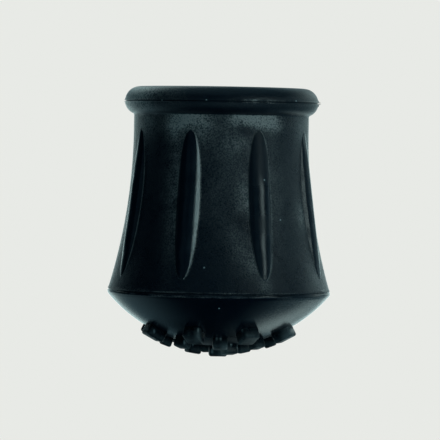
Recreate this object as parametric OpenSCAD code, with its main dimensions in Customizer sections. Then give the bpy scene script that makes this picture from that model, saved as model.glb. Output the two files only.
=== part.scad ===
// Rubber tip for a walking cane: one moulding in black rubber.
// A rolled collar rings the mouth, the waisted barrel flares down to a sharp rim,
// eight round ribs bridge the waist, and a domed sole carries rings of studs.
// Millimetres, +Z up. The origin is the lowest point of the sole, on the axis.

/* [Overall] */
// Total height, from the sole's lowest point to the top of the collar
height = 43.5; // [42:0.1:46]
// Outer diameter of the flared rim
rim_d = 36; // [34:0.1:40]
// Height of the narrow upright land round the rim
rim_land = 0.45; // [0.2:0.05:1]
// Outer diameter of the straight neck under the collar
neck_d = 28.3; // [27:0.1:29]
// Height at which the straight neck starts to flare
neck_z = 36.6; // [35:0.1:37.5]

/* [Collar] */
// Outer diameter of the rolled collar
collar_d = 31.3; // [30.5:0.1:34]
// Rounding above the collar's widest line
collar_top_round = 2.35; // [1.8:0.05:2.6]
// Rounding below the collar's widest line
collar_low_round = 2.15; // [1.6:0.05:2.3]

/* [Shaft socket] */
// Diameter of the socket, a push fit on a 3/4 inch cane
bore_d = 19; // [16:0.1:20]
// Depth of the socket below the top of the collar
bore_depth = 30.4; // [24:0.1:31]
// Rounding of the socket's mouth
mouth_round = 1; // [0.5:0.1:1.5]

/* [Ribs] */
// Number of ribs round the barrel
rib_count = 8; // [4:1:10]
// Radius of a rib's round back
rib_r = 2.5; // [2:0.1:3]
// Height at which a rib runs out into the neck
rib_top_z = 36.5; // [35:0.1:38]
// Height at which a rib runs out into the flare
rib_low_z = 13; // [12:0.1:16]

/* [Sole] */
// Radius of the dome that closes the sole
dome_r = 23.4; // [22:0.1:27]
// Height of the studs above the dome
stud_h = 1.6; // [1:0.1:2.2]
// Rounding of a stud's upright corners
stud_round = 0.45; // [0.2:0.05:0.6]
// Side of the square stud at the pole
pole_stud = 2.9; // [2:0.1:3.2]
// Height of the pole's stud below the sphere on which the other studs end
pole_proud = 0.1; // [0:0.05:0.4]

/* [Hidden] */
slack = 0.5;

neck_r = neck_d / 2;
rim_r = rim_d / 2;
tread_r = dome_r + stud_h;
dome_z = tread_r + pole_proud;
rim_low_z = dome_z - sqrt(pow(dome_r, 2) - pow(rim_r, 2));
rim_top_z = rim_low_z + rim_land;

// The barrel is an arc that leaves the neck upright and ends on the rim.
flare_drop = neck_z - rim_top_z;
flare_out = rim_r - neck_r;
flare_r = (pow(flare_drop, 2) + pow(flare_out, 2)) / (2 * flare_out);

// Radius of the barrel's surface at a height
function barrel_r(z) = neck_r + flare_r - sqrt(pow(flare_r, 2) - pow(max(neck_z - z, 0), 2));

collar_r = collar_d / 2;
collar_z = height - collar_top_round;
bore_r = bore_d / 2;
bore_z = height - bore_depth;

// A rib is a straight round bar. Its back touches the barrel's hollow at both ends,
// so it stands proud between them, and it is sunk in the wall beyond them.
rib_rise = rib_top_z - rib_low_z;
rib_run = barrel_r(rib_low_z) - barrel_r(rib_top_z);
rib_lean = atan(rib_run / rib_rise);
rib_sunk = 1.2;
rib_length = sqrt(pow(rib_rise, 2) + pow(rib_run, 2)) + 2 * rib_sunk;

// Rings of studs, from the pole outwards: angle from the pole, number of studs,
// turn of the first stud, width round the ring and length along the radius
stud_rings = [
    [10.4, 4, 22.5, 2.4, 2.2],
    [20.2, 8, 0, 2.4, 2.0],
    [28.0, 8, 22.5, 2.8, 3.2],
];

// One half of the collar's roll: a round of its own radius, kept to the far side of the widest line.
module collar_half(r) {
    intersection() {
        union() {
            translate([collar_r - r, 0])
                circle(r = r, $fn = 40);
            translate([0, -r])
                square([collar_r - r, 2 * r]);
        }
        square([collar_r, r]);
    }
}

module collar_profile() {
    translate([0, collar_z]) {
        collar_half(collar_top_round);
        mirror([0, 1])
            collar_half(collar_low_round);
    }
}

module barrel_profile() {
    difference() {
        translate([0, rim_low_z])
            square([rim_r, collar_z - rim_low_z]);
        translate([neck_r, neck_z])
            square([rim_r, collar_z]);
        intersection() {
            translate([neck_r + flare_r, neck_z])
                circle(r = flare_r, $fn = 480);
            translate([neck_r - slack, rim_top_z])
                square([rim_r, neck_z - rim_top_z]);
        }
    }
}

module dome_profile() {
    intersection() {
        translate([0, dome_z])
            circle(r = dome_r, $fn = 120);
        square([rim_r, rim_low_z]);
    }
}

module blank() {
    rotate_extrude($fn = 96) {
        collar_profile();
        barrel_profile();
        dome_profile();
    }
}

module socket() {
    translate([0, 0, bore_z])
        cylinder(r = bore_r, h = bore_depth + slack, $fn = 96);
    // The mouth is rounded over: a square ring less the rounding's own ring.
    rotate_extrude($fn = 96)
        difference() {
            translate([bore_r - slack, height - mouth_round])
                square([mouth_round + slack, mouth_round + slack]);
            translate([bore_r + mouth_round, height - mouth_round])
                circle(r = mouth_round, $fn = 32);
        }
}

module rib() {
    translate([barrel_r(rib_low_z), 0, rib_low_z])
        rotate([0, -rib_lean, 0])
            translate([-rib_r, 0, -rib_sunk])
                cylinder(r = rib_r, h = rib_length, $fn = 64);
}

module rounded_rect(width, length, r) {
    square([width - 2 * r, length], center = true);
    square([width, length - 2 * r], center = true);
    for (x = [-1, 1], y = [-1, 1])
        translate([x * (width / 2 - r), y * (length / 2 - r)])
            circle(r = r, $fn = 24);
}

// One stud, standing square to the dome at an angle from the pole.
module stud(tilt, turn, width, length) {
    rotate([0, 0, turn])
        translate([0, 0, dome_z])
            rotate([-tilt, 0, 0])
                translate([0, 0, -tread_r - slack])
                    linear_extrude(stud_h + 2 * slack)
                        rounded_rect(width, length, stud_round);
}

// The rings of studs end on one sphere. The stud at the pole ends flat.
module tread() {
    intersection() {
        translate([0, 0, dome_z])
            sphere(r = tread_r, $fn = 120);
        for (ring = stud_rings, i = [0 : ring[1] - 1])
            stud(ring[0], ring[2] + i * 360 / ring[1], ring[3], ring[4]);
    }
    linear_extrude(stud_h + slack)
        rounded_rect(pole_stud, pole_stud, stud_round);
}

module rubber_tip() {
    color([0.07, 0.08, 0.09])
        difference() {
            union() {
                blank();
                tread();
                for (i = [0 : rib_count - 1])
                    rotate([0, 0, (i + 0.5) * 360 / rib_count])
                        rib();
            }
            socket();
        }
}

rubber_tip();
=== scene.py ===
# %% [markdown]
# # A rubber tip for a walking cane
# The object is one moulding in black rubber: a rolled collar round a blind socket, a waisted barrel with
# eight raised ribs, a sharp rim left by the mould's parting, and a domed sole with studs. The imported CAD
# part is loaded first, and every piece below is built round it, in metres, in the same frame.

import math

import bmesh
import bpy
from mathutils import Matrix, Vector, noise


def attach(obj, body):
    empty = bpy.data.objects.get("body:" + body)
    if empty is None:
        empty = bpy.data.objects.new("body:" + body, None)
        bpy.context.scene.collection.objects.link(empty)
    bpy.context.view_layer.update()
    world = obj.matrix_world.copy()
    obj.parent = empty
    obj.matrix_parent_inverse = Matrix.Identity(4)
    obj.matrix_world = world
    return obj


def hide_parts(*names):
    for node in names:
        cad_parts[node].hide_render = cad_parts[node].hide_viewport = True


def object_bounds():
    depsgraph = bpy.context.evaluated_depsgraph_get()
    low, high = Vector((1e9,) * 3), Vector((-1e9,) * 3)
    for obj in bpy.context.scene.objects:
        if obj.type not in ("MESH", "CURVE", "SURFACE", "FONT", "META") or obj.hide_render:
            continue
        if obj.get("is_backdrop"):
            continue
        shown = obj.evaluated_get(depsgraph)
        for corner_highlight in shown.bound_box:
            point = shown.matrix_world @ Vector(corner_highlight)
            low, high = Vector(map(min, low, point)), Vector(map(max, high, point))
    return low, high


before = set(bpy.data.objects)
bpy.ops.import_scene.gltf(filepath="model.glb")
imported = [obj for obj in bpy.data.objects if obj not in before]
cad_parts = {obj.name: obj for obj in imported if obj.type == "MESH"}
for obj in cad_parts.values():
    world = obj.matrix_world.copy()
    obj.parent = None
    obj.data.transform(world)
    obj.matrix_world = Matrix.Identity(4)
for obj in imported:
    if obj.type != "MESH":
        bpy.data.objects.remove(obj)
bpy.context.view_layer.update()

# %% [markdown]
# ## Sizes
# A mould maker works from a few sizes, and the rest follows from them. They are the CAD part's own, in
# millimetres, and one factor turns them into metres when a mesh is made. Keeping them in one place means
# that a shape is changed by changing a number, never by pushing points about.

# %% Sizes in millimetres
MM = 0.001
HEIGHT, RIM_R, RIM_LAND = 43.5, 18.0, 0.45
NECK_R, NECK_Z = 14.15, 36.6
COLLAR_R, COLLAR_TOP_ROUND, COLLAR_LOW_ROUND = 15.65, 2.35, 2.15
BORE_R, BORE_DEPTH, MOUTH_ROUND = 9.5, 30.4, 1.0
RIBS, RIB_R, RIB_TOP_Z, RIB_LOW_Z = 8, 2.5, 36.5, 13.0
DOME_R, STUD_H, POLE_STUD, POLE_PROUD = 23.4, 1.6, 2.9, 0.1

TREAD_R = DOME_R + STUD_H
DOME_Z = TREAD_R + POLE_PROUD
RIM_LOW_Z = DOME_Z - math.sqrt(DOME_R ** 2 - RIM_R ** 2)
RIM_TOP_Z = RIM_LOW_Z + RIM_LAND
COLLAR_Z = HEIGHT - COLLAR_TOP_ROUND
FLARE_R = ((NECK_Z - RIM_TOP_Z) ** 2 + (RIM_R - NECK_R) ** 2) / (2 * (RIM_R - NECK_R))


def barrel_r(z):
    """Radius of the barrel's surface at a height."""
    return NECK_R + FLARE_R - math.sqrt(FLARE_R ** 2 - max(NECK_Z - z, 0) ** 2)


RIB_LEAN = math.atan((barrel_r(RIB_LOW_Z) - barrel_r(RIB_TOP_Z)) / (RIB_TOP_Z - RIB_LOW_Z))
print(f"flare radius {FLARE_R:.1f}, rim from {RIM_LOW_Z:.2f} to {RIM_TOP_Z:.2f}, "
      f"ribs lean {math.degrees(RIB_LEAN):.1f} degrees")

# %% [markdown]
# ## The camera
# A long lens from half a metre away keeps the sides nearly parallel. It stands level with the upper barrel
# and looks slightly down, so the collar's mouth stays hidden. A small roll gives the slight lean that a part
# set down by hand has.

# %% Place the camera
PICTURE, PIXEL = 440, 0.162 * MM
SIGHT, EYE_Z = 556 * MM, 33.8 * MM
AZIMUTH, ROLL = math.radians(-2.6), math.radians(0.95)
AIM = Vector((0.03 * MM, 0.0, 22.07 * MM))

lens = bpy.data.cameras.new("camera")
lens.sensor_width = 36
lens.lens = lens.sensor_width * SIGHT / (PICTURE * PIXEL)
camera = bpy.data.objects.new("camera", lens)
bpy.context.collection.objects.link(camera)
bpy.context.scene.camera = camera
eye = Vector((SIGHT * math.sin(AZIMUTH), -SIGHT * math.cos(AZIMUTH), EYE_Z))
turn = (AIM - eye).to_track_quat("-Z", "Y").to_matrix().to_4x4()
camera.matrix_world = Matrix.Translation(eye) @ turn @ Matrix.Rotation(ROLL, 4, "Z")
print(f"lens {lens.lens:.0f} mm at {SIGHT * 1000:.0f} mm")

# %% [markdown]
# ## Material helpers
# Shader nodes are easier to read as sums. `Value` wraps a socket, so that `1 - mask * 0.3` adds the Math
# nodes itself, and `Finish.node` makes every other kind: its settings first, and then what feeds it.


# %% A socket that can be added and multiplied
class Value:
    """An output socket of a material, with arithmetic that makes Math nodes."""

    def __init__(self, finish, socket):
        self.finish, self.socket = finish, socket

    def math(self, operation, *values):
        return self.finish.node("Math", {"operation": operation}, dict(enumerate(values)))

    def __add__(self, other):
        return self.math("ADD", self, other)

    def __sub__(self, other):
        return self.math("SUBTRACT", self, other)

    def __rsub__(self, other):
        return self.math("SUBTRACT", other, self)

    def __mul__(self, other):
        return self.math("MULTIPLY", self, other)

    def __truediv__(self, other):
        return self.math("DIVIDE", self, other)

    __radd__, __rmul__ = __add__, __mul__


class Finish:
    """A material whose nodes are made by one method."""

    def __init__(self, name):
        self.material = bpy.data.materials.new(name)
        self.material.use_nodes = True
        self.tree = self.material.node_tree
        self.shader = self.tree.nodes["Principled BSDF"]

    def node(self, kind, settings=None, inputs=None, out=0):
        made = self.tree.nodes.new("ShaderNode" + kind)
        for name, value in (settings or {}).items():
            setattr(made, name, value)
        for name, value in (inputs or {}).items():
            self.feed(made.inputs[name], value)
        return Value(self, made.outputs[out])

    def feed(self, socket, value):
        if isinstance(value, Value):
            self.tree.links.new(value.socket, socket)
        else:
            socket.default_value = value

    def band(self, value, start, end):
        """0 before start, 1 after end, and smooth between them."""
        return self.node("MapRange", {"interpolation_type": "SMOOTHSTEP"},
                         {"Value": value, "From Min": start, "From Max": end})

    def mix(self, factor, first, second):
        """The first colour turned into the second by a factor."""
        return self.node("Mix", {"data_type": "RGBA"}, {0: factor, 6: first, 7: second}, out=2)


print("material helpers are ready")

# %% [markdown]
# ## The light tent
# Black rubber shows little but what it reflects, so the light is the look. The part stands in a white cloth
# tent that is lit from outside: bright to the right and behind, weaker in front, and dark where a side of the
# tent is shaded. The tent is one large sphere that gives off light and that only reflections and soft light
# can see. Each glow on it is named by where it stands round the part and how high it reaches.


# %% Hang the light tent
def tent_glow(tent, flat, height, azimuth, wide, low, middle, high):
    """1 at an azimuth and a height on the tent, and 0 beyond the half width, the lower and the upper edge."""
    a = math.radians(azimuth) + AZIMUTH
    facing = tent.node("VectorMath", {"operation": "DOT_PRODUCT"},
                       {0: flat, 1: (math.sin(a), -math.cos(a), 0)}, out=1)
    across = tent.band(facing, math.cos(math.radians(wide)), math.cos(math.radians(wide * EVEN_SHARE)))
    up = tent.band(height, math.sin(math.radians(low)), math.sin(math.radians(middle)))
    return across * up * (1 - tent.band(height, math.sin(math.radians(middle)), math.sin(math.radians(high))))


GLOWS = [  # azimuth, half width, lower edge, middle, upper edge, level
    (30, 66, -60, -4, 30, 0.22), (51, 14, 2, 15, 27, 3.3), (170, 32, -34, 8, 64, 0.66),
    (155, 15, -64, -42, -14, 1.22), (180, 34, -27, -9, 14, 0.65), (128, 40, -82, -48, -10, 0.25),
    (-125, 36, -82, -46, -8, 0.19), (-150, 28, -54, -28, -4, 0.17), (-168, 36, -30, -4, 16, 0.75),
    (-142, 32, -34, -9, 5, 0.36), (-156, 26, 14, 34, 56, 1.7), (10, 95, -56, -32, -5, 0.13),
    (-90, 50, -56, -32, -5, 0.14), (-44, 18, -20, 8, 30, 0.08), (104, 30, -30, 4, 40, 0.20),
    (138, 32, 4, 15, 42, 0.80), (127, 20, -24, -2, 8, 0.55)]
EVEN_SHARE = 0.25  # of a glow's half width
BASE_GLOW, CEILING_GLOW, BRIGHTEST = 0.004, 0.21, 3.5
CEILING_START, CEILING_FULL = 0.58, 0.95  # heights on a tent of radius 1
DIM, BRIGHT = 0.02, 0.7
DIM_TINT, BRIGHT_TINT, BLACK = (0.48, 1.0, 1.22, 1), (0.74, 1.0, 1.0, 1), (0, 0, 0, 1)
TENT_R = 1.5

ball = bmesh.new()
bmesh.ops.create_icosphere(ball, subdivisions=5, radius=TENT_R)
bmesh.ops.reverse_faces(ball, faces=ball.faces)
tent_mesh = bpy.data.meshes.new("light_tent")
ball.to_mesh(tent_mesh)
ball.free()
light_tent = bpy.data.objects.new("light_tent", tent_mesh)
bpy.context.collection.objects.link(light_tent)
cloth = Finish("tent_cloth")
spot = cloth.node("VectorMath", {"operation": "NORMALIZE"}, {0: cloth.node("TexCoord", out="Object")})
flat = cloth.node("VectorMath", {"operation": "MULTIPLY"}, {0: spot, 1: (1, 1, 0)})
flat = cloth.node("VectorMath", {"operation": "NORMALIZE"}, {0: flat})
upward = cloth.node("SeparateXYZ", None, {0: spot}, out="Z")
glow = BASE_GLOW + CEILING_GLOW * cloth.band(upward, CEILING_START, CEILING_FULL)
for azimuth, wide, low, middle, high, level in GLOWS:
    glow = glow + level * tent_glow(cloth, flat, upward, azimuth, wide, low, middle, high)
tint = cloth.mix(cloth.band(glow, DIM, BRIGHT), DIM_TINT, BRIGHT_TINT)
cloth.feed(cloth.shader.inputs["Emission Color"], cloth.mix(glow / BRIGHTEST, BLACK, tint))
cloth.shader.inputs["Emission Strength"].default_value = BRIGHTEST
cloth.shader.inputs["Base Color"].default_value = BLACK
cloth.shader.inputs["Specular IOR Level"].default_value = 0
tent_mesh.materials.append(cloth.material)
light_tent.visible_camera = light_tent.visible_shadow = False
light_tent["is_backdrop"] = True
print(len(GLOWS), "glows on the tent")

# %% [markdown]
# ## The floor
# The ground is one pale tone from the near edge to the backdrop, without a shadow, as on a table lit from
# below. It gives off its own light and is left out of reflections, which belong to the tent. It lies a hair
# under the tread, so that the two never share a surface.

# %% Lay the pale floor
PALE = (0.807, 0.823, 0.791, 1)
FLOOR_R, FLOOR_Z = 2.0, -0.02 * MM
world = bpy.context.scene.world or bpy.data.worlds.new("studio")
bpy.context.scene.world = world
world.use_nodes = True
world.node_tree.nodes["Background"].inputs["Color"].default_value = PALE
world.node_tree.nodes["Background"].inputs["Strength"].default_value = 1.0
world.cycles_visibility.glossy = False
world.cycles_visibility.diffuse = False
bpy.context.scene.view_settings.view_transform = "Standard"

sheet = bmesh.new()
bmesh.ops.create_circle(sheet, cap_ends=True, radius=FLOOR_R, segments=96,
                        matrix=Matrix.Translation((0, 0, FLOOR_Z)))
floor_mesh = bpy.data.meshes.new("floor")
sheet.to_mesh(floor_mesh)
sheet.free()
floor = bpy.data.objects.new("floor", floor_mesh)
bpy.context.collection.objects.link(floor)
paper = Finish("pale_paper")
paper.shader.inputs["Base Color"].default_value = BLACK
paper.shader.inputs["Specular IOR Level"].default_value = 0
paper.shader.inputs["Emission Color"].default_value = PALE
paper.shader.inputs["Emission Strength"].default_value = 1.0
floor_mesh.materials.append(paper.material)
floor.visible_glossy = floor.visible_diffuse = floor.visible_shadow = False
floor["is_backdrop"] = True
print("a floor and a backdrop")

# %% [markdown]
# ## The moulding
# The whole outline is one line, from the middle of the socket's floor, up its wall, over the mouth and the
# collar, down the barrel to the rim, and along the dome to the pole. Spinning that line round the axis gives
# the moulding in one closed skin, as the mould's own cavity was turned on a lathe. Two joints of the mould
# leave their mark in the line: a groove between fine lips at the collar's widest point, and a fine ridge
# just above the rim.


# %% Draw the outline
def arc(x, z, r, start, end, steps):
    """Points on a circle from one angle to another, both ends included."""
    turns = [math.radians(start + (end - start) * i / steps) for i in range(steps + 1)]
    return [(x + r * math.cos(t), z + r * math.sin(t)) for t in turns]


def along(first, last, steps):
    """Points on a straight line, without its first."""
    return [(first[0] + (last[0] - first[0]) * i / steps, first[1] + (last[1] - first[1]) * i / steps)
            for i in range(1, steps + 1)]


BORE_ROUND, NECK_ROUND = 0.6, 0.25
BARREL_ROWS = 92
SEAM = [  # the parting groove and its two lips, from the collar's widest point
    (0.05, 0.14), (0.06, 0.11), (-0.16, 0.04), (-0.16, -0.04), (0.06, -0.11), (0.05, -0.14)]
RIM_LINE = 0.31
RIM_EDGE = [  # the fine ridge and the land's upper edge, from the rim's upper corner
    (-0.11, 0.44), (-0.05, RIM_LINE + 0.05), (-0.04, RIM_LINE - 0.05), (-0.11, 0.19), (-0.22, 0.13),
    (-0.22, 0.06), (-0.04, 0.0), (0.0, -0.06)]
RIM_FOOT = [(0, 0.08), (-0.02, 0.01), (-0.09, -0.05)]  # from the rim's lower corner
bore_z = HEIGHT - BORE_DEPTH
outline = [(0, bore_z)]
outline += along(outline[-1], (BORE_R - BORE_ROUND, bore_z), 5)
outline += arc(BORE_R - BORE_ROUND, bore_z + BORE_ROUND, BORE_ROUND, -90, 0, 5)[1:]
outline += along(outline[-1], (BORE_R, HEIGHT - MOUTH_ROUND), 14)
outline += arc(BORE_R + MOUTH_ROUND, HEIGHT - MOUTH_ROUND, MOUTH_ROUND, 180, 90, 8)[1:]
outline += along(outline[-1], (COLLAR_R - COLLAR_TOP_ROUND, HEIGHT), 5)
outline += arc(COLLAR_R - COLLAR_TOP_ROUND, COLLAR_Z, COLLAR_TOP_ROUND, 90, 5, 18)[1:]
outline += [(COLLAR_R + x, COLLAR_Z + z) for x, z in SEAM]
neck_turn = -math.degrees(math.acos((NECK_R + NECK_ROUND - COLLAR_R + COLLAR_LOW_ROUND) / COLLAR_LOW_ROUND))
outline += arc(COLLAR_R - COLLAR_LOW_ROUND, COLLAR_Z, COLLAR_LOW_ROUND, -5, neck_turn, 16)
outline += [(NECK_R + 0.06, outline[-1][1] - 0.12), (NECK_R, outline[-1][1] - 0.32)]
top, foot = outline[-1][1], RIM_TOP_Z + RIM_EDGE[0][1]
outline += [(barrel_r(z), z) for z in (top + (foot - top) * i / BARREL_ROWS for i in range(1, BARREL_ROWS))]
outline += [(RIM_R + x, RIM_TOP_Z + z) for x, z in RIM_EDGE]
outline += [(RIM_R + x, RIM_LOW_Z + z) for x, z in RIM_FOOT]
rim_turn = math.degrees(math.acos((RIM_R - 0.12) / DOME_R))
outline += arc(0, DOME_Z, DOME_R, -rim_turn, -90, 52)


def skin_r(z):
    """Radius of the outer skin at a height, read off the outline from the pole upwards."""
    for (r, low_z), (next_r, high_z) in zip(outline[::-1], outline[-2::-1]):
        if low_z <= z <= high_z:
            return r + (next_r - r) * (z - low_z) / max(high_z - low_z, 1e-9)
    return 0.0


print(len(outline), "points in the outline")

# %% [markdown]
# ## Ribs
# Each rib starts from a straight round bar that bridges the barrel's waist. Where a straight bar meets a
# hollow curve, their crossing line is a slim lens, and that lens is the rib's outline. A low round crown
# stands on it between two flat flanks, which get narrower towards the tips. The spun skin has columns of
# faces, so the columns are drawn together until one follows each edge of the lens, and the faces between
# them are lifted onto the rib.

# %% Where the bar meets the barrel
SECTOR = 2 * math.pi / RIBS
COLUMNS = 44
SLIM = math.radians(0.9)


def bar_axis(z):
    """Distance of a bar's centre line from the part's axis at a height."""
    back = barrel_r(RIB_LOW_Z) - (z - RIB_LOW_Z) * math.tan(RIB_LEAN)
    return back - RIB_R / math.cos(RIB_LEAN)


def bar_r(turn, z):
    """Radius of a bar's surface at an angle from the bar's middle, or 0 beside the bar."""
    flat = math.cos(RIB_LEAN) ** 2
    d = bar_axis(z)
    a = math.cos(turn) ** 2 * flat + math.sin(turn) ** 2
    b = -2 * d * math.cos(turn) * flat
    c = d * d * flat - RIB_R ** 2
    under = b * b - 4 * a * c
    return (-b + math.sqrt(under)) / (2 * a) if under > 0 else 0.0


def half_width(z):
    """Angle from a rib's middle to its edge at a height, by halving the gap. 0 beyond its ends."""
    if bar_r(0, z) <= barrel_r(z) or z > RIB_TOP_Z + 0.5:
        return 0.0
    inside, outside = 0.0, math.radians(12)
    for _ in range(30):
        middle = (inside + outside) / 2
        if bar_r(middle, z) > barrel_r(z):
            inside = middle
        else:
            outside = middle
    return inside


FLANK = math.tan(math.radians(42))
FLANK_SHARE, CROWN_BEND, KNEE = 0.29, 0.175, 0.05
WIDEST = max(half_width(z) * barrel_r(z) for z in (20, 22, 24, 26, 28))


def rib_lift(aside, half):
    """How far a rib stands above the barrel, beside its middle line: a round crown between flat flanks,
    which fade out towards the rib's tips."""
    crown_half = half * (1 - FLANK_SHARE * (half / WIDEST) ** 2)
    crown = (half - crown_half) * FLANK + CROWN_BEND * (crown_half ** 2 - aside ** 2)
    flank = (half - aside) * FLANK
    blend = max(KNEE - abs(crown - flank), 0) ** 2 / (4 * KNEE)
    return max(min(crown, flank) - blend, 0)


MIDDLE_Z = 24.6
middle_half = half_width(MIDDLE_Z) * barrel_r(MIDDLE_Z)
print(f"a rib is {2 * middle_half:.1f} mm wide in the middle, "
      f"and stands {rib_lift(0, middle_half):.2f} mm proud")

# %% [markdown]
# ## Painted light
# Pale patches are painted into the rubber's colour where light falls on it: painted highlights and sheen in
# the corner under the collar, at the collar's sides, beside the ribs, on one flank of a rib, along the rim
# and on the dome, and a little painted shade where a patch's level is below 0. Each soft patch is named by
# its azimuth and height, and the far side has the same set mirrored. All of it is stored on the skin's own
# points, where the finish can read it as an attribute. A dull head on one rib is stored in the same way, and
# makes it rougher.

# %% Place the patches of painted light
# painted light: patches with a level above 0 are painted highlights and sheen, those below 0 painted shade
LIGHT_PATCHES = [  # azimuth and height, half width in degrees, half height in millimetres, and level
    (-24, 38.4, 10, 1.5, 1.7), (18, 38.7, 11, 1.2, 1.65), (-34, 36.8, 5, 1.6, 0.38),
    (-13, 36.4, 5, 2.0, 0.36), (-31, 28, 4, 9, 0.24), (-36, 30, 6, 8, 0.07), (8, 35.2, 8, 1.8, 0.30),
    (13, 25.6, 5, 3.2, 0.26), (33, 29.5, 5, 8, 0.14), (8, 18.4, 6, 2.4, 0.14), (16, 15.3, 4, 1.4, 0.28),
    (22, 11.8, 3, 1.4, 0.25), (56, 23.4, 4, 1.8, 0.38), (62, 13.4, 7, 2.6, 0.24), (-66, 37.8, 13, 1.8, 0.50),
    (62, 37.3, 9, 2.2, 0.26), (33, 37.6, 6, 0.9, 0.6), (0, 29, 15, 8, 0.11), (46, 24, 14, 9, 0.05),
    (13, 36.6, 5, 0.8, -0.4), (11.6, 22.2, 3.5, 1.6, -0.2)]
# painted highlights on the collar and on the dome
COLLAR_LIGHT_PATCHES = [(-82, 41.6, 22, 2.6, 1.1), (-58, 42.6, 18, 1.1, 0.35), (70, 41.4, 22, 3.0, 0.08),
                  (0, 40.8, 60, 0.8, 0.02)]
DOME_LIGHT_PATCHES = [(70, 8.8, 20, 3.0, 0.34), (31, 5.6, 6, 1.6, 0.10)]
# levels of painted highlights: beside each rib's edge, on one rib's flank, on the rim's lines, along the
# collar's groove
CORNER_HIGHLIGHT, FLANK_HIGHLIGHT, RIM_LINE_HIGHLIGHT, SEAM_HIGHLIGHT = 0.55, 1.1, 0.85, 1.15
HIGHLIGHT_SHARE = 0.40  # of a rib's half width
HIGHLIGHT_RIB, DULL_RIB = math.cos(math.radians(112.5)), math.cos(math.radians(67.5))
SPREAD = 1.5


def painted_light_at(azimuth, z, patches):
    """Sum of the patches of painted light at an azimuth from the front, in degrees, and a height."""
    total = 0.0
    for middle, level_z, wide, tall, level in patches:
        for centre in (middle, 180 - middle):
            aside = abs((azimuth - centre + 180) % 360 - 180)
            total += level * math.exp(-SPREAD * ((aside / wide) ** 2 + ((z - level_z) / tall) ** 2) / 2)
    return total


print(len(LIGHT_PATCHES), "patches of bloom on each side")

# %% [markdown]
# ## The skin
# The line is spun with the same number of columns for each rib. Then every point of the skin is visited once.
# Points of the collar and the dome only take their painted light. Points of the barrel move sideways to the
# rib's edge and out onto the rib, and take painted light as well. Where the mould halves met, a little torn
# flash stands out of the collar's groove. Painted highlights, broken into dashes, run along the groove and
# the rim, and the groove's floor and walls get painted shade.

# %% Spin the outline and lift the ribs
NIBS = [(87.4, 0.42), (267.4, 0.12), (214, 0.2)]  # azimuth and length
NIB_SPREAD = 1.2
COLLAR_FOOT_Z = COLLAR_Z - COLLAR_LOW_ROUND
# painted highlight beside the collar's groove: where it is strongest, and how far it reaches
SEAM_AZIMUTH, SEAM_SPREAD = 21, 11  # where the groove's bloom is strongest, and how far it reaches
# where the painted highlight on the rim's lines is strongest, and how far it reaches
RIM_AZIMUTH, RIM_SPREAD = -12, 38
CLOSED_AZIMUTH, CLOSED_SPREAD, CLOSED_SHARE = 85, 26, 0.75  # where the groove under the ridge is filled
# painted shade in the collar's groove: below 0, so that its walls are painted darker too
GROOVE_SHADE = -0.8  # below 0, so that the walls stay dark too


def seam_highlight(azimuth, z):
    """A broken painted highlight beside the collar's groove, to the right of the front."""
    broken = max(0.5 + 1.2 * noise.noise(Vector((azimuth * 0.2, 0, 0))), 0)
    upper = 1.0 if z > COLLAR_Z else 0.6
    return upper * SEAM_HIGHLIGHT * broken * math.exp(-((azimuth - SEAM_AZIMUTH) / SEAM_SPREAD) ** 2)


def rim_highlight(azimuth, z):
    """A broken painted highlight on the rim's two fine lines, strongest a little left of the front."""
    broken = max(0.45 + 1.2 * noise.noise(Vector((azimuth * 0.16, z * 3, 0))), 0)
    upper = 1.0 if z > RIM_TOP_Z else 0.35
    return upper * RIM_LINE_HIGHLIGHT * broken * math.exp(-((azimuth - RIM_AZIMUTH) / RIM_SPREAD) ** 2)


def column_turn(turn, edge):
    """A column's new angle from its rib's middle: drawn in to the rib's edge, or spread out beyond it."""
    t = abs(turn) / (SECTOR / 2)
    if t <= 0.5:
        new = edge * (0.6 * math.sin(t * math.pi) + 0.4 * t * 2)
    else:
        new = edge + (SECTOR / 2 - edge) * (2 * t - 1) ** 1.5
    return math.copysign(new, turn)


skin = bmesh.new()
line = [skin.verts.new((x * MM, 0, z * MM)) for x, z in outline]
edges = [skin.edges.new(pair) for pair in zip(line, line[1:])]
bmesh.ops.spin(skin, geom=line + edges, axis=(0, 0, 1), cent=(0, 0, 0), angle=2 * math.pi,
               steps=RIBS * COLUMNS, use_merge=True, use_duplicate=False)
bmesh.ops.remove_doubles(skin, verts=skin.verts, dist=0.002 * MM)
bmesh.ops.recalc_face_normals(skin, faces=skin.faces)

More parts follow.
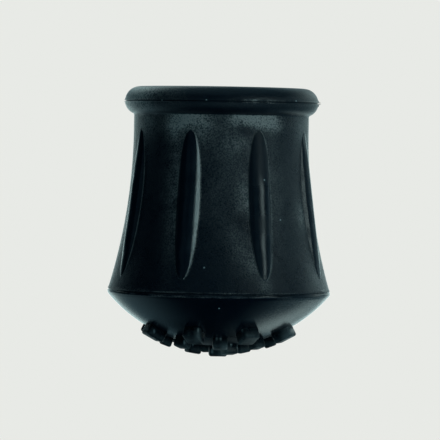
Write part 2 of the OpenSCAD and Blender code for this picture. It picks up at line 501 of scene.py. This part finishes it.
rib_mask = skin.verts.layers.float.new("rib")
dull_mask = skin.verts.layers.float.new("dull")
light_paint_mask = skin.verts.layers.float.new("light_paint")
widths = {}
for vert in skin.verts:
    x, y, z = vert.co / MM
    r = math.hypot(x, y)
    azimuth = math.degrees(math.atan2(y, x)) + 90
    if r > NECK_R and z > COLLAR_FOOT_Z + 0.1:
        vert[light_paint_mask] = painted_light_at(azimuth, z, COLLAR_LIGHT_PATCHES)
        # painted shade: the groove's floor gets a level below 0
        if r < COLLAR_R - 0.1 and abs(z - COLLAR_Z) < 0.06:  # the groove's floor stays dark
            vert[light_paint_mask] = GROOVE_SHADE
        if r > COLLAR_R - 0.06:
            torn = sum(tall * math.exp(-((azimuth - at) / NIB_SPREAD) ** 2) for at, tall in NIBS)
            torn *= 1.0 if r > COLLAR_R + 0.04 else 0.3  # the lips stand out furthest
            vert.co = Vector((x * (1 + torn / r), y * (1 + torn / r), z)) * MM
        if r > COLLAR_R - 0.02:
            vert[light_paint_mask] += seam_highlight(azimuth, z)
    if r > BORE_R + 1 and z < RIM_LOW_Z - 0.02:
        vert[light_paint_mask] = painted_light_at(azimuth, z, DOME_LIGHT_PATCHES)
    if abs(z - RIM_TOP_Z - RIM_LINE) < 0.06 or 0 < z - RIM_LOW_Z < 0.09:
        vert[light_paint_mask] = rim_highlight(azimuth, z)
        continue
    if r < BORE_R + 1 or not RIM_TOP_Z - 0.01 < z < COLLAR_FOOT_Z or r > barrel_r(z) + 0.03:
        continue

    if z < RIM_TOP_Z + RIM_LINE:  # the groove under the ridge is nearly closed at the right
        r += (RIM_R - 0.05 - r) * CLOSED_SHARE * math.exp(-((azimuth - CLOSED_AZIMUTH) / CLOSED_SPREAD) ** 2)
    key = round(z, 3)
    if key not in widths:
        widths[key] = half_width(z)
    width = widths[key]
    turn = math.atan2(y, x) % SECTOR - SECTOR / 2
    middle = math.atan2(y, x) - turn
    new = column_turn(turn, max(width, SLIM))
    on_rib = 0 < width and abs(new) <= width + 1e-6
    lifted = barrel_r(z) + rib_lift(abs(new) * r, width * r) if on_rib else r
    vert.co = Vector((lifted * math.cos(middle + new), lifted * math.sin(middle + new), z)) * MM

    vert[rib_mask] = 1.0 if on_rib else 0.0
    if on_rib and abs(math.cos(middle) - DULL_RIB) < 0.01:
        vert[dull_mask] = min(max((z - 27.5) / 2.5, 0), 1) + 0.6 * math.exp(-((z - 21.8) / 1.3) ** 2)
    # painted highlight: a pale line just beyond each rib's edge, stronger on the right, plus the patches of
    # painted light
    if abs(new) >= width - 1e-6:
        corner_highlight = math.exp(-(math.degrees(abs(new) - width) / 0.45) ** 2) if width > 0 else 0
        corner_highlight *= CORNER_HIGHLIGHT if new > 0 else 0.3 * CORNER_HIGHLIGHT
        vert[light_paint_mask] = corner_highlight + painted_light_at(math.degrees(middle + new) + 90, z, LIGHT_PATCHES)
    # painted highlight on one flank of one rib and of its mirrored twin
    elif abs(math.cos(middle) - HIGHLIGHT_RIB) < 0.01 and math.sin(middle) * new < 0:
        half = width * r
        flank = (abs(new) * r - half) / (HIGHLIGHT_SHARE * half * (half / WIDEST) ** 2) + 1
        vert[light_paint_mask] = FLANK_HIGHLIGHT * min(max(2.2 * flank, 0), 1)


def piece(name, mesh_in_progress, finish):
    """Turns a bmesh into a shaded piece of the part."""
    mesh = bpy.data.meshes.new(name)
    mesh_in_progress.to_mesh(mesh)
    mesh_in_progress.free()
    mesh.shade_smooth()
    mesh.materials.append(finish.material)
    made = bpy.data.objects.new(name, mesh)
    bpy.context.collection.objects.link(made)
    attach(made, "root")
    print(name, sum(len(p.vertices) - 2 for p in mesh.polygons), "triangles")
    return made


# %% [markdown]
# ## Black rubber
# Moulded rubber takes the mould's own surface. The barrel was left as cut, so it has a fine grain. The
# painted light in the colour breaks up into cloudy specks, over a faint pale mottle of the rubber's own. The
# ribs, the collar and the dome were polished in the mould and give sharper reflections. A few motes of dust
# lie on the skin.

# %% Mix the rubber
BARE_RUBBER, PALE_LIGHT_AND_MOTTLE, PALE_DUST = (0.0003, 0.008, 0.020, 1), (0.60, 0.57, 0.54, 1), (0.80, 0.90, 0.92, 1)
MOTE_CORE, MOTE_EDGE = 0.05 * MM, 0.19 * MM
DUST = [  # azimuth and height of each mote, and how far it stands out from the spun skin
    (-40.2, 41.15, 0.02), (-11.5, 41.25, 0.02), (46.5, 41.4, 0.02), (24.6, 28.8, 0.72), (36.4, 22.5, 0),
    (-10.6, 14.9, 0), (-2.2, 8.5, 0), (196, 20, 0), (233, 27, 0), (140, 41.3, 0.02)]
rubber = Finish("black_rubber")
place = rubber.node("TexCoord", out="Object")
rib = rubber.node("Attribute", {"attribute_name": "rib"}, out="Fac")
light_paint = rubber.node("Attribute", {"attribute_name": "light_paint"}, out="Fac")
dull = rubber.node("Attribute", {"attribute_name": "dull"}, out="Fac")
height = rubber.node("SeparateXYZ", None, {0: place}, out="Z")
clouds = rubber.node("TexNoise", None, {"Vector": place, "Scale": 260, "Detail": 6, "Roughness": 0.62,
                                        "Distortion": 0.6})
grain = rubber.node("TexNoise", None, {"Vector": place, "Scale": 4000, "Detail": 2, "Roughness": 0.7})
waves = rubber.node("TexNoise", None, {"Vector": place, "Scale": 240, "Detail": 1})
speck = rubber.band(grain, 0.38, 0.62)
collar = rubber.band(height, (COLLAR_Z - 2.1) * MM, (COLLAR_Z - 1.9) * MM)
barrel = rubber.band(height, RIM_TOP_Z * MM, (RIM_TOP_Z + 0.2) * MM) - collar
matt = barrel * (1 - rib)
cloudy = rubber.band(clouds, 0.32, 0.68)
sole = 1 - rubber.band(height, 2.6 * MM, 3.8 * MM)
# painted light from the skin's patches, broken up by clouds, plus a faint pale mottle
painted_light_and_mottle = light_paint * (0.45 + 0.70 * cloudy) + (0.007 + 0.004 * matt) * cloudy
speckle = 0.30 + 1.4 * speck * (1 - rib) + 0.8 * rib
colour = rubber.mix(painted_light_and_mottle * speckle, BARE_RUBBER, PALE_LIGHT_AND_MOTTLE)
dust = 0
for azimuth, z, proud in DUST:
    a, radius = math.radians(azimuth), skin_r(z) + proud
    mote = (radius * math.sin(a) * MM, -radius * math.cos(a) * MM, z * MM)
    away = rubber.node("VectorMath", {"operation": "DISTANCE"}, {0: place, 1: mote}, out=1)
    dust = dust + (1 - rubber.band(away, MOTE_CORE, MOTE_EDGE))
rubber.feed(rubber.shader.inputs["Base Color"], rubber.mix(dust, colour, PALE_DUST))
rubber.feed(rubber.shader.inputs["Roughness"],
            0.20 + matt * (0.05 + 0.12 * speck) + collar * (0.12 + 0.06 * speck) + 0.05 * cloudy
            + 0.28 * dull + 0.35 * sole)
relief = rubber.node("Bump", None, {"Strength": 1.0, "Distance": 0.00007,
                                    "Height": grain * (0.3 + matt + 0.5 * collar) + 4.0 * waves * rib})
rubber.feed(rubber.shader.inputs["Normal"], relief)

moulding = piece("moulding", skin, rubber)
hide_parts("rubber_tip")

# %% [markdown]
# ## The studs
# The studs are small blocks that stand square to the dome and end on one larger sphere. The one at the pole
# ends flat, where the part touches the floor. Their ends are worn matt, and pale painted glints on their
# front stand in for highlights on their corners.

# %% Mix the scuffed rubber with painted glints
BARE_STUD, PALE_SCUFF, GLINT_PAINT = (0.003, 0.011, 0.020, 1), (0.075, 0.102, 0.110, 1), (0.40, 0.46, 0.47, 1)
# painted glints: pale spots projected from the front onto the studs, as highlights
PAINTED_GLINTS = [  # distance from the middle, height, reach and level of each pale nick on the front
    (-10.5, 4.2, 0.26, 1), (-5.7, 2.6, 0.26, 1), (-4.15, 2.05, 0.26, 1), (-0.95, 0.9, 0.3, 1),
    (0.05, 3.4, 0.26, 1), (-0.6, 3.4, 0.26, 1), (1.95, 2.15, 0.26, 1), (4.2, 1.75, 0.3, 1),
    (-3.7, 4.8, 0.26, 1), (3.3, 4.9, 0.26, 1), (-1.62, 1.2, 0.3, 0.8), (3.0, 1.8, 0.3, 0.8),
    (10.8, 4.7, 1.4, 0.45), (-3.8, 3.9, 0.9, 0.2), (0.8, 1.3, 1.2, 0.25)]
scuffed = Finish("scuffed_rubber")
spot = scuffed.node("TexCoord", out="Object")
from_centre = scuffed.node("VectorMath", {"operation": "DISTANCE"}, {0: spot, 1: (0, 0, DOME_Z * MM)}, out=1)
worn_end = scuffed.band(from_centre, (DOME_R + 0.4) * MM, (TREAD_R - 0.1) * MM)
scrape = scuffed.node("TexNoise", None, {"Vector": spot, "Scale": 900, "Detail": 5, "Roughness": 0.65})
soil = scuffed.node("TexNoise", None, {"Vector": spot, "Scale": 330, "Detail": 3})
scuff = scuffed.band(0.6 * scrape + 0.4 * soil, 0.40, 0.62) * (0.35 + 0.65 * worn_end)
# the painted glints only fall on the front half
front = scuffed.band(scuffed.node("SeparateXYZ", None, {0: spot}, out="Y"), 0, -0.5 * MM)
flat = scuffed.node("VectorMath", {"operation": "MULTIPLY"}, {0: spot, 1: (1, 0, 0.5)})
painted_glint = 0
for x, z, reach, level in PAINTED_GLINTS:
    away = scuffed.node("VectorMath", {"operation": "DISTANCE"}, {0: flat, 1: (x * MM, 0, z * MM / 2)}, out=1)
    painted_glint = painted_glint + level * (1 - scuffed.band(away, 0.12 * reach * MM, reach * MM))
colour = scuffed.mix(scuff, BARE_STUD, PALE_SCUFF)
scuffed.feed(scuffed.shader.inputs["Base Color"], scuffed.mix(painted_glint * front, colour, GLINT_PAINT))
scuffed.feed(scuffed.shader.inputs["Roughness"], 0.26 + 0.12 * scuff + 0.22 * worn_end)
scuffed.feed(scuffed.shader.inputs["Normal"], scuffed.node(
    "Bump", None, {"Strength": 1.0, "Distance": 0.0001, "Height": scrape}))

# %% Set the studs in rings
RINGS = [  # tilt, number, azimuth of the first, width and length
    (10.4, 4, 22.5, 2.4, 2.2), (20.2, 8, 0, 2.4, 2.0), (28.0, 8, 22.5, 2.8, 3.2)]
SUNK, CORNER, END_ROUND = 0.5, 0.45, 0.32


def stud(mesh, width, length, tilt, turn):
    """A block with round corners and a softened end, sunk in the dome."""
    made = bmesh.new()
    bmesh.ops.create_cube(made, size=1)
    bmesh.ops.scale(made, vec=(width, length, STUD_H + SUNK), verts=made.verts)
    upright = [e for e in made.edges if abs(e.verts[0].co.z - e.verts[1].co.z) > 0.1]
    bmesh.ops.bevel(made, geom=upright, offset=CORNER, segments=4, profile=0.5, affect="EDGES", material=-1)
    low = -(STUD_H + SUNK) / 2
    rim = [e for e in made.edges if all(v.co.z < low + 1e-4 for v in e.verts)]
    bmesh.ops.bevel(made, geom=rim, offset=END_ROUND, segments=4, profile=0.5, affect="EDGES", material=-1)
    bmesh.ops.translate(made, vec=(0, 0, -low - TREAD_R - (0 if tilt else POLE_PROUD)), verts=made.verts)
    if tilt:
        for v in made.verts:
            if v.co.z < -DOME_R:
                v.co = v.co.normalized() * -v.co.z
    bmesh.ops.rotate(made, cent=(0, 0, 0), matrix=Matrix.Rotation(math.radians(-tilt), 3, "X"),
                     verts=made.verts)
    bmesh.ops.translate(made, vec=(0, 0, DOME_Z), verts=made.verts)
    bmesh.ops.rotate(made, cent=(0, 0, 0), matrix=Matrix.Rotation(math.radians(turn), 3, "Z"),
                     verts=made.verts)
    bmesh.ops.scale(made, vec=(MM, MM, MM), verts=made.verts)
    part = bpy.data.meshes.new("stud")
    made.to_mesh(part)
    made.free()
    mesh.from_mesh(part)
    bpy.data.meshes.remove(part)


tread = bmesh.new()
stud(tread, POLE_STUD, POLE_STUD, 0, 0)
for tilt, count, first, width, length in RINGS:
    for i in range(count):
        stud(tread, width, length, tilt, first + i * 360 / count)
bmesh.ops.recalc_face_normals(tread, faces=tread.faces)
piece("studs", tread, scuffed)

# %% [markdown]
# ## Measure
# The dressed part's box is printed in millimetres. The dressed part has to keep to the imported part's box.

# %% Measure and finish
low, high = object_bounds()
print("visual box in mm:", [round(1000 * v, 2) for v in (*low, *high)])
